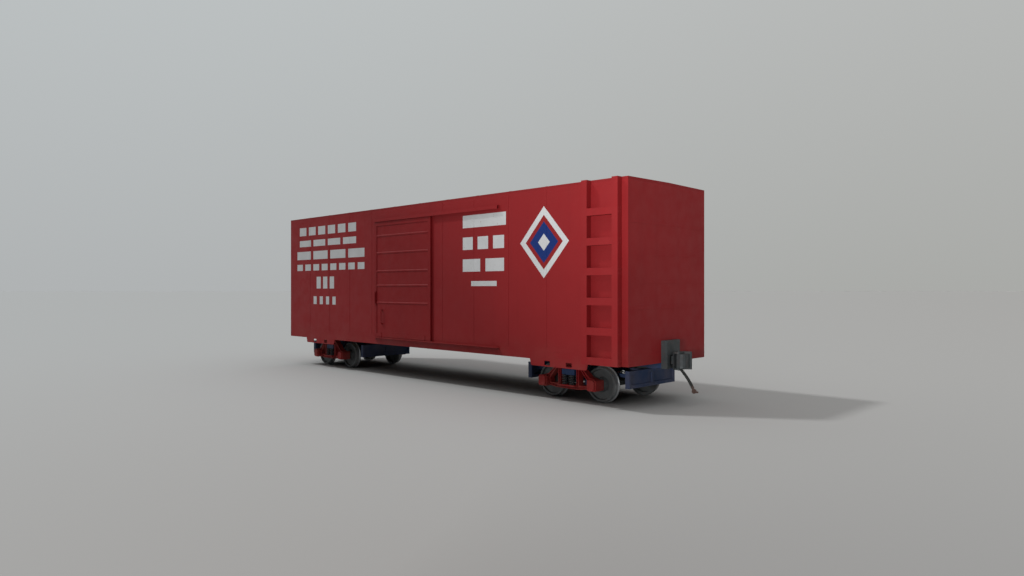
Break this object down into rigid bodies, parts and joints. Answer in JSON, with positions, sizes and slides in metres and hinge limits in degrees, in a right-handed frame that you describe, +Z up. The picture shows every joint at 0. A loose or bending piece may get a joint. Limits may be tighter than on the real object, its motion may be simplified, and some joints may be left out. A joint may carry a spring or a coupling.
{
  "type": "railroad boxcar",
  "caption": "Full-size closed railroad freight car with a sliding door on each side, side ladders, knuckle couplers and swivelling trucks with free-turning wheelsets.",
  "frame": {"origin": "under the middle of the car, at the level of the underside of the wheel flanges", "axes": "+X along the car towards the A end, +Y towards the car's right side seen from above with +X ahead on the left, +Z up"},
  "size_m": [13.5322, 3.072, 4.4568],
  "materials": {
    "red_body": "satin",
    "red_door": "satin",
    "blue_frame": "satin",
    "red_casting": "satin",
    "spring_steel": "matt",
    "wheel_steel": "matt",
    "dark_casting": "matt",
    "brake_black": "satin",
    "hose_rubber": "matt",
    "hose_metal": "matt",
    "floor_wood": "oiled"
  },
  "bodies": {
    "carbody": {"centre_sill": "blue_frame", "side_sills": "red_body", "end_sills": "red_body", "body_bolsters": "blue_frame", "centre_plates": "blue_frame", "coupler_pins": "blue_frame", "crossbearers": "blue_frame", "car_floor": "floor_wood", "side_wall_left": "red_body", "side_wall_right": "red_body", "end_walls": "red_body", "car_roof": "red_body", "door_tracks": "red_body", "side_ladders": "red_body", "strikers": "dark_casting", "brake_cylinder": "brake_black", "air_reservoir": "brake_black", "train_line": "brake_black", "angle_cocks": "brake_black", "hose_a": "hose_rubber", "hose_b": "hose_rubber", "hose_a_head": "hose_metal", "hose_b_head": "hose_metal", "hand_brake": "red_body"},
    "door_left": {"door_left": "red_door", "door_left_fittings": "red_door"},
    "door_right": {"door_right": "red_door", "door_right_fittings": "red_door"},
    "coupler_a": {"coupler_a_head": "dark_casting"},
    "knuckle_a": {"coupler_a_knuckle": "dark_casting"},
    "coupler_b": {"coupler_b_head": "dark_casting"},
    "knuckle_b": {"coupler_b_knuckle": "dark_casting"},
    "truck_a": {"truck_a_side_frames": "red_casting", "truck_a_bolster": "blue_frame", "truck_a_springs": "spring_steel", "truck_a_end_frames": "blue_frame", "truck_a_brake_beams": "blue_frame"},
    "wheelset_a1": {"axle_a1": "wheel_steel", "wheels_a1": "wheel_steel"},
    "wheelset_a2": {"axle_a2": "wheel_steel", "wheels_a2": "wheel_steel"},
    "truck_b": {"truck_b_side_frames": "red_casting", "truck_b_bolster": "blue_frame", "truck_b_springs": "spring_steel", "truck_b_end_frames": "blue_frame", "truck_b_brake_beams": "blue_frame"},
    "wheelset_b1": {"axle_b1": "wheel_steel", "wheels_b1": "wheel_steel"},
    "wheelset_b2": {"axle_b2": "wheel_steel", "wheels_b2": "wheel_steel"}
  },
  "joints": [
    {"name": "door_left_slide", "type": "slide", "parent": "carbody", "child": "door_left", "axis": [1, 0, 0], "range_m": [0, 2.29]},
    {"name": "door_right_slide", "type": "slide", "parent": "carbody", "child": "door_right", "axis": [-1, 0, 0], "range_m": [0, 2.29]},
    {"name": "coupler_a_swing", "type": "hinge", "parent": "carbody", "child": "coupler_a", "pos_m": [6, 0, 0.901], "axis": [0, 0, 1], "range_deg": [-7, 7]},
    {"name": "knuckle_a_open", "type": "hinge", "parent": "coupler_a", "child": "knuckle_a", "pos_m": [6.595, -0.112, 0.901], "axis": [0, 0, -1], "range_deg": [0, 38]},
    {"name": "coupler_b_swing", "type": "hinge", "parent": "carbody", "child": "coupler_b", "pos_m": [-6, 0, 0.901], "axis": [0, 0, 1], "range_deg": [-7, 7]},
    {"name": "knuckle_b_open", "type": "hinge", "parent": "coupler_b", "child": "knuckle_b", "pos_m": [-6.595, 0.112, 0.901], "axis": [0, 0, -1], "range_deg": [0, 38]},
    {"name": "truck_a_swivel", "type": "hinge", "parent": "carbody", "child": "truck_a", "pos_m": [4.576, 0, 0.705], "axis": [0, 0, 1], "range_deg": [-8, 8]},
    {"name": "wheelset_a1_roll", "type": "hinge", "parent": "truck_a", "child": "wheelset_a1", "pos_m": [5.226, 0, 0.3805], "axis": [0, 1, 0], "continuous": true},
    {"name": "wheelset_a2_roll", "type": "hinge", "parent": "truck_a", "child": "wheelset_a2", "pos_m": [3.926, 0, 0.3805], "axis": [0, 1, 0], "continuous": true},
    {"name": "truck_b_swivel", "type": "hinge", "parent": "carbody", "child": "truck_b", "pos_m": [-4.576, 0, 0.705], "axis": [0, 0, 1], "range_deg": [-8, 8]},
    {"name": "wheelset_b1_roll", "type": "hinge", "parent": "truck_b", "child": "wheelset_b1", "pos_m": [-5.226, 0, 0.3805], "axis": [0, 1, 0], "continuous": true},
    {"name": "wheelset_b2_roll", "type": "hinge", "parent": "truck_b", "child": "wheelset_b2", "pos_m": [-3.926, 0, 0.3805], "axis": [0, 1, 0], "continuous": true}
  ]
}
